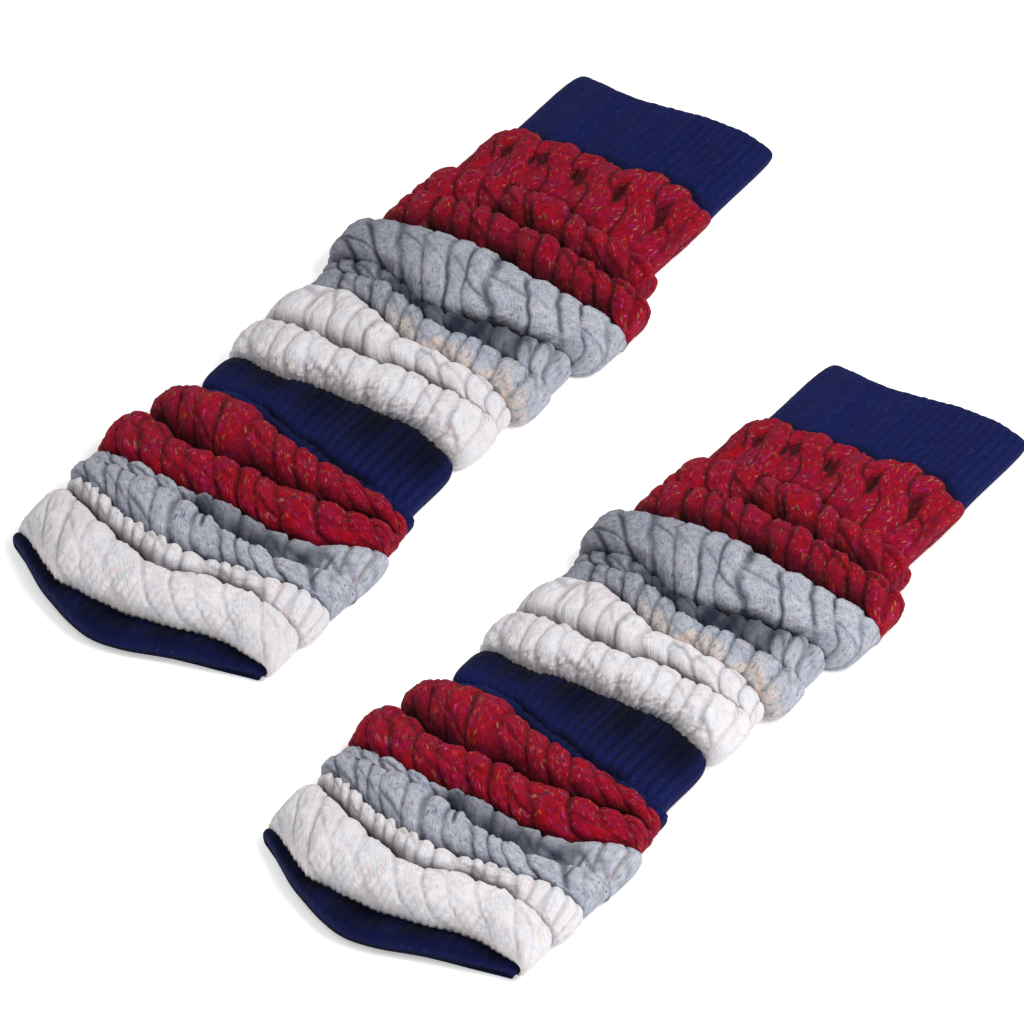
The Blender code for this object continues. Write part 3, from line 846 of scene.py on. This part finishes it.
def build_fuzz():
    """Loose fibres: a fine uneven height, specks where they stand up, and the uneven tone of dyed wool."""
    outputs = [(title, FLOAT) for title in ("Height", "Mottle", "Specks", "Tone")]
    group, given, made = new_group("wool_fuzz", [("Cloth", VECTOR, None)], outputs)
    for title, scale, detail, low, high in (
        ("Height", 0.6, 4.0, 0.0, 1.0),
        ("Mottle", 0.35, 3.0, 0.32, 0.68),
        ("Specks", 0.6, 4.0, 0.52, 0.64),
        ("Tone", 0.09, 2.0, 0.35, 0.65),
    ):
        grain = {"Vector": given["Cloth"], "Scale": scale, "Detail": detail}
        noise = add(group, "ShaderNodeTexNoise", grain, noise_dimensions="3D")
        spread = add(group, "ShaderNodeMapRange", {0: noise.outputs["Fac"], 1: low, 2: high})
        group.links.new(spread.outputs[0], made[title])
    return group


def build_shade():
    """Painted shade where cloth lies in a crease or between two strands, where less light reaches: the colour
    mixed towards a shade colour.
    """
    inputs = [("Colour", COLOUR, None), ("Shade", COLOUR, None)]
    inputs += [("Hollow", FLOAT, 0.0), ("Amount", FLOAT, 0.8)]
    group, given, made = new_group("deep_shade", inputs, [("Colour", COLOUR)])
    share = sum_up(group, "MULTIPLY", given["Hollow"], given["Amount"])
    group.links.new(blend(group, share, given["Colour"], given["Shade"]), made["Colour"])
    return group


# The two colours of the yarn in the rows where it is joined, and how dark the painted shade inside a sock is
JOINED_WARM = (0.80, 0.60, 0.50)
JOINED_COOL = (0.78, 0.73, 0.66)
INSIDE_PAINTED_SHADE = 0.9

# What one yarn looks like. The colours are linear. warm and cool are its colour where the dye took unevenly,
# second the darker ply that it is spun with, speck the colour of its stray fibres, shade the colour of the
# painted shade in creases, between strands, in the gaps between stitches and inside the sock, and flecks the
# colours of its tweed neps, of which share of the places have one.
Yarn = namedtuple(
    "Yarn", "warm cool second speck shade depth ply mottle specks gap flecks share fineness length sheen"
)
YARNS = {
    "navy": Yarn(
        warm=(0.0060, 0.0085, 0.070),
        cool=(0.0050, 0.0105, 0.082),
        second=(0.011, 0.016, 0.108),
        speck=(0.002, 0.003, 0.020),
        shade=(0.0008, 0.0011, 0.0065),
        depth=0.97, ply=0.35, mottle=0.3, specks=0.35, gap=0.25,
        flecks=((0.02, 0.03, 0.18), (0.012, 0.02, 0.14), (0.03, 0.04, 0.20)),
        share=0.05, fineness=1.6, length=0.9, sheen=0.02,
    ),
    "white": Yarn(
        warm=(0.80, 0.745, 0.735),
        cool=(0.74, 0.74, 0.78),
        second=(0.58, 0.56, 0.60),
        speck=(0.46, 0.44, 0.49),
        shade=(0.075, 0.048, 0.046),
        depth=0.93, ply=0.25, mottle=0.4, specks=0.22, gap=0.05,
        flecks=(
            (0.80, 0.45, 0.48), (0.45, 0.46, 0.52), (0.82, 0.70, 0.50),
            (0.58, 0.50, 0.66), (0.84, 0.60, 0.56),
        ),
        share=0.08, fineness=1.2, length=1.1, sheen=0.08,
    ),
    "grey": Yarn(
        warm=(0.54, 0.54, 0.585),
        cool=(0.48, 0.51, 0.59),
        second=(0.26, 0.28, 0.35),
        speck=(0.08, 0.085, 0.12),
        shade=(0.010, 0.012, 0.030),
        depth=0.98, ply=0.3, mottle=0.55, specks=0.42, gap=0.12,
        flecks=(
            (0.10, 0.11, 0.15), (0.55, 0.22, 0.30), (0.60, 0.62, 0.66),
            (0.14, 0.17, 0.32), (0.60, 0.50, 0.25),
        ),
        share=0.07, fineness=1.3, length=0.9, sheen=0.06,
    ),
    "red": Yarn(
        warm=(0.40, 0.0022, 0.009),
        cool=(0.31, 0.003, 0.036),
        second=(0.15, 0.0015, 0.009),
        speck=(0.06, 0.001, 0.006),
        shade=(0.006, 0.0006, 0.0015),
        depth=0.96, ply=0.45, mottle=0.5, specks=0.6, gap=0.2,
        flecks=(
            (0.50, 0.07, 0.020), (0.20, 0.11, 0.06), (0.16, 0.015, 0.15),
            (0.52, 0.05, 0.20), (0.03, 0.015, 0.06), (0.34, 0.18, 0.09),
            (0.56, 0.01, 0.05), (0.42, 0.02, 0.14),
        ),
        share=0.20, fineness=1.15, length=0.85, sheen=0.03,
    ),
}


def fleck_colours(tree, pick, colours):
    """A ramp of flat steps, one for each fleck colour."""
    ramp = add(tree, "ShaderNodeValToRGB", {0: pick})
    ramp.color_ramp.interpolation = "CONSTANT"
    elements = ramp.color_ramp.elements
    while len(elements) < len(colours):
        elements.new(1.0)
    for i, colour in enumerate(colours):
        elements[i].position = i / len(colours)
        elements[i].color = opaque(colour)
    return ramp.outputs[0]


def yarn_colour(tree, yarn, groups, stitches, fuzz):
    """One yarn's colour, with painted shade in the gaps between stitches, before the painted shade of the
    creases goes over it.
    """
    knit = read_attribute(tree, "knit", "Vector")
    tweed = {"Fineness": yarn.fineness, "Share": yarn.share, "Length": yarn.length, "Seed": FLECK_SEED}
    flecks = use_group(tree, groups["flecks"], {"Knit": knit, **tweed})
    ply = use_group(tree, groups["flecks"], {"Knit": knit, **PLY})
    dye_and_far_shade = blend(tree, fuzz["Tone"], opaque(yarn.warm), opaque(yarn.cool))
    joined = blend(tree, fuzz["Mottle"], opaque(JOINED_WARM), opaque(JOINED_COOL))
    colour = blend(tree, read_attribute(tree, "join", "Fac"), dye_and_far_shade, joined)
    mottled = sum_up(tree, "MULTIPLY", fuzz["Mottle"], yarn.mottle)
    darker = sum_up(tree, "MULTIPLY_ADD", ply["Mask"], yarn.ply, mottled)
    colour = blend(tree, darker, colour, opaque(yarn.second))
    uneven = sum_up(tree, "MULTIPLY_ADD", fuzz["Mottle"], 0.8, 0.35)
    specks = sum_up(tree, "MULTIPLY", sum_up(tree, "MULTIPLY", fuzz["Specks"], uneven), yarn.specks)
    colour = blend(tree, specks, colour, opaque(yarn.speck))
    colour = blend(tree, flecks["Mask"], colour, fleck_colours(tree, flecks["Pick"], yarn.flecks))
    # painted shade in the gaps between stitches
    return blend(tree, sum_up(tree, "MULTIPLY", stitches["Gap"], yarn.gap), colour, opaque(yarn.shade))


def yarn_normal(tree, stitches, fuzz):
    """The stitches and the loose fibres as a normal."""
    stitch_height = sum_up(tree, "MULTIPLY", stitches["Height"], STITCH_HEIGHT)
    height = sum_up(tree, "MULTIPLY_ADD", fuzz["Height"], FUZZ_HEIGHT, stitch_height)
    bump = add(tree, "ShaderNodeBump", {"Height": height, "Strength": KNIT_STRENGTH, "Distance": KNIT_BUMP})
    return bump.outputs[0]


def yarn_material(name, groups):
    yarn = YARNS[name]
    material = bpy.data.materials.new(f"wool_{name}")
    material.use_nodes = True
    tree = material.node_tree
    stitches = use_group(tree, groups["stitches"], {"Knit": read_attribute(tree, "knit", "Vector")})
    fuzz = use_group(tree, groups["fuzz"], {"Cloth": read_attribute(tree, "cloth", "Vector")})
    # painted shade over the yarn's colour, as strong as the mesh's painted shade attribute says
    deep = {
        "Colour": yarn_colour(tree, yarn, groups, stitches, fuzz),
        "Shade": opaque(yarn.shade),
        "Hollow": read_attribute(tree, "hollow", "Fac"),
        "Amount": yarn.depth,
    }
    colour = use_group(tree, groups["shade"], deep)["Colour"]
    spread = {0: fuzz["Mottle"], 1: 0.2, 2: 0.8, 3: LEAST_ROUGH, 4: MOST_ROUGH}
    rough = add(tree, "ShaderNodeMapRange", spread)
    shader = tree.nodes["Principled BSDF"]
    tree.links.new(colour, shader.inputs["Base Color"])
    tree.links.new(rough.outputs[0], shader.inputs["Roughness"])
    tree.links.new(yarn_normal(tree, stitches, fuzz), shader.inputs["Normal"])
    shader.inputs["Specular IOR Level"].default_value = SPECULAR
    shader.inputs["Sheen Weight"].default_value = yarn.sheen
    shader.inputs["Sheen Roughness"].default_value = SHEEN_ROUGHNESS
    return material


# ---------------- the socks


def new_object(name, data):
    made = bpy.data.objects.new(name, data)
    bpy.context.scene.collection.objects.link(made)
    return made


def sock_place(sock):
    """Where a sock's own frame lies, from the mount on its underside."""
    mounts = {mount["name"]: mount["pos_m"] for mount in frame["record"]["mounts"]}
    x, y, _ = mounts[f"{sock}_underside"]
    return Vector((x - UNDERSIDE_MARK[0] * MM, y - UNDERSIDE_MARK[1] * MM, 0.0))


def band_cloth(name):
    """Mean length of a band's cloth round the sock, pulled straight."""
    _, points = inner_face(name)
    return np.linalg.norm(np.diff(points, axis=0), axis=2).sum(axis=0).mean()


def make_socks():
    builders = {"stitches": build_stitches, "flecks": build_flecks, "fuzz": build_fuzz, "shade": build_shade}
    groups = {name: build() for name, build in builders.items()}
    materials = {name: yarn_material(name, groups) for name in YARNS}
    for name, band in BANDS.items():
        mesh = band_mesh(name)
        mesh.materials.append(materials[band.yarn])
        for sock in SOCKS:
            piece = new_object(f"{sock}_{name}_knit", mesh)
            piece.location = sock_place(sock)
            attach(piece, "root")
            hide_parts(f"{sock}_{name}")
            band_cloth(name) * MM


# ---------------- floor, light and camera

AZIMUTH, ELEVATION = 35.0, 40.7
VIEW_WIDTH = 0.430  # metres across the picture
LENS = 1500.0
SENSOR = 36.0
AIM = Vector((-0.0089, 0.0074, 0.0))
FLOOR_GAP = 0.0004  # between the floor and the cloth, so that the two don't share a plane
FLOOR_GLOW = 0.36
SKY_LIGHT = 0.48


def towards(azimuth, elevation):
    """The direction from the object to an eye at this azimuth and elevation, in degrees."""
    turned, raised = math.radians(azimuth), math.radians(elevation)
    level = math.cos(raised)
    return Vector((math.sin(turned) * level, -math.cos(turned) * level, math.sin(raised)))


def make_stage():
    bpy.ops.mesh.primitive_plane_add(size=12, location=(0, 0, -FLOOR_GAP))
    floor = bpy.context.object
    floor.name = "floor"
    material = bpy.data.materials.new("pale_floor")
    material.use_nodes = True
    shader = material.node_tree.nodes["Principled BSDF"]
    shader.inputs["Base Color"].default_value = (0.95, 0.95, 0.95, 1.0)
    shader.inputs["Roughness"].default_value = 0.9
    shader.inputs["Emission Color"].default_value = (1.0, 1.0, 1.0, 1.0)
    shader.inputs["Emission Strength"].default_value = FLOOR_GLOW
    floor.data.materials.append(material)
    world = bpy.data.worlds.new("studio")
    world.use_nodes = True
    background = world.node_tree.nodes["Background"]
    background.inputs["Color"].default_value = (1.0, 1.0, 1.0, 1.0)
    background.inputs["Strength"].default_value = SKY_LIGHT
    bpy.context.scene.world = world


def soft_lamp(name, azimuth, elevation, distance, size, power):
    """A round lamp that looks at the middle of the floor: angles in degrees, lengths in metres."""
    lamp = bpy.data.lights.new(name, "AREA")
    lamp.shape = "DISK"
    lamp.size = size
    lamp.energy = power
    lamp_object = new_object(name, lamp)
    away = towards(azimuth, elevation)
    lamp_object.location = away * distance
    lamp_object.rotation_euler = away.to_track_quat("Z", "Y").to_euler()
    lamp_object.visible_camera = False


def make_camera():
    camera = new_object("camera", bpy.data.cameras.new("camera"))
    camera.data.lens = LENS
    camera.data.sensor_width = SENSOR
    back = towards(AZIMUTH, ELEVATION)
    camera.location = AIM + back * (VIEW_WIDTH * LENS / SENSOR)
    camera.rotation_euler = back.to_track_quat("Z", "Y").to_euler()
    bpy.context.scene.camera = camera


make_camera()
make_socks()
make_stage()
soft_lamp("key", azimuth=105, elevation=55, distance=1.6, size=0.8, power=18)
soft_lamp("fill", azimuth=10, elevation=50, distance=1.8, size=1.2, power=5)
bpy.context.scene.view_settings.view_transform = "Standard"
